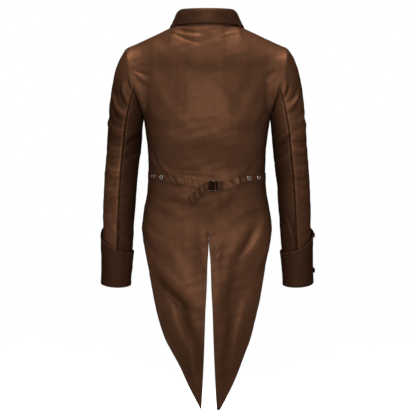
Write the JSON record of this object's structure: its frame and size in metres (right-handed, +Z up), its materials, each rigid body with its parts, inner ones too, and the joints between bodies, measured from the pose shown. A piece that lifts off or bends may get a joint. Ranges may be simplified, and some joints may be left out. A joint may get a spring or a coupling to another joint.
{
  "type": "tailcoat",
  "caption": "Belted tailcoat, worn and hollow: pointed tails with a centre vent, turned-down collar, two-piece sleeves with deep cuffs, and a buckled half belt with eyelets.",
  "frame": {"origin": "between the shoulders at the height of the side of the neck, where the wearer carries the coat", "axes": "+Z up, -Y towards the wearer's front, +X towards the wearer's left"},
  "size_m": [0.5834, 0.2573, 1.0774],
  "materials": {
    "coat_cloth": "smooth twill with a soft sheen",
    "facing_cloth": "smooth twill with a soft sheen, a shade darker",
    "dark_metal": "blackened metal, lightly polished",
    "eyelet_metal": "dull plated metal"
  },
  "bodies": {
    "root": {"back_left": "coat_cloth", "back_right": "coat_cloth", "front_left": "coat_cloth", "front_right": "coat_cloth", "sleeve_upper_left": "coat_cloth", "sleeve_upper_right": "coat_cloth", "sleeve_under_left": "coat_cloth", "sleeve_under_right": "coat_cloth", "cuff_left": "facing_cloth", "cuff_right": "facing_cloth", "collar_stand": "facing_cloth", "collar_fall": "facing_cloth", "belt_left": "facing_cloth", "belt_right": "facing_cloth", "buckle": "dark_metal", "eyelet_left_outer": "eyelet_metal", "eyelet_left_inner": "eyelet_metal", "eyelet_right_inner": "eyelet_metal", "eyelet_right_outer": "eyelet_metal", "cuff_button_left_1": "dark_metal", "cuff_button_left_2": "dark_metal", "cuff_button_right_1": "dark_metal", "cuff_button_right_2": "dark_metal", "front_button_1": "dark_metal", "front_button_2": "dark_metal", "front_button_3": "dark_metal", "front_button_4": "dark_metal", "front_button_5": "dark_metal"}
  },
  "joints": []
}
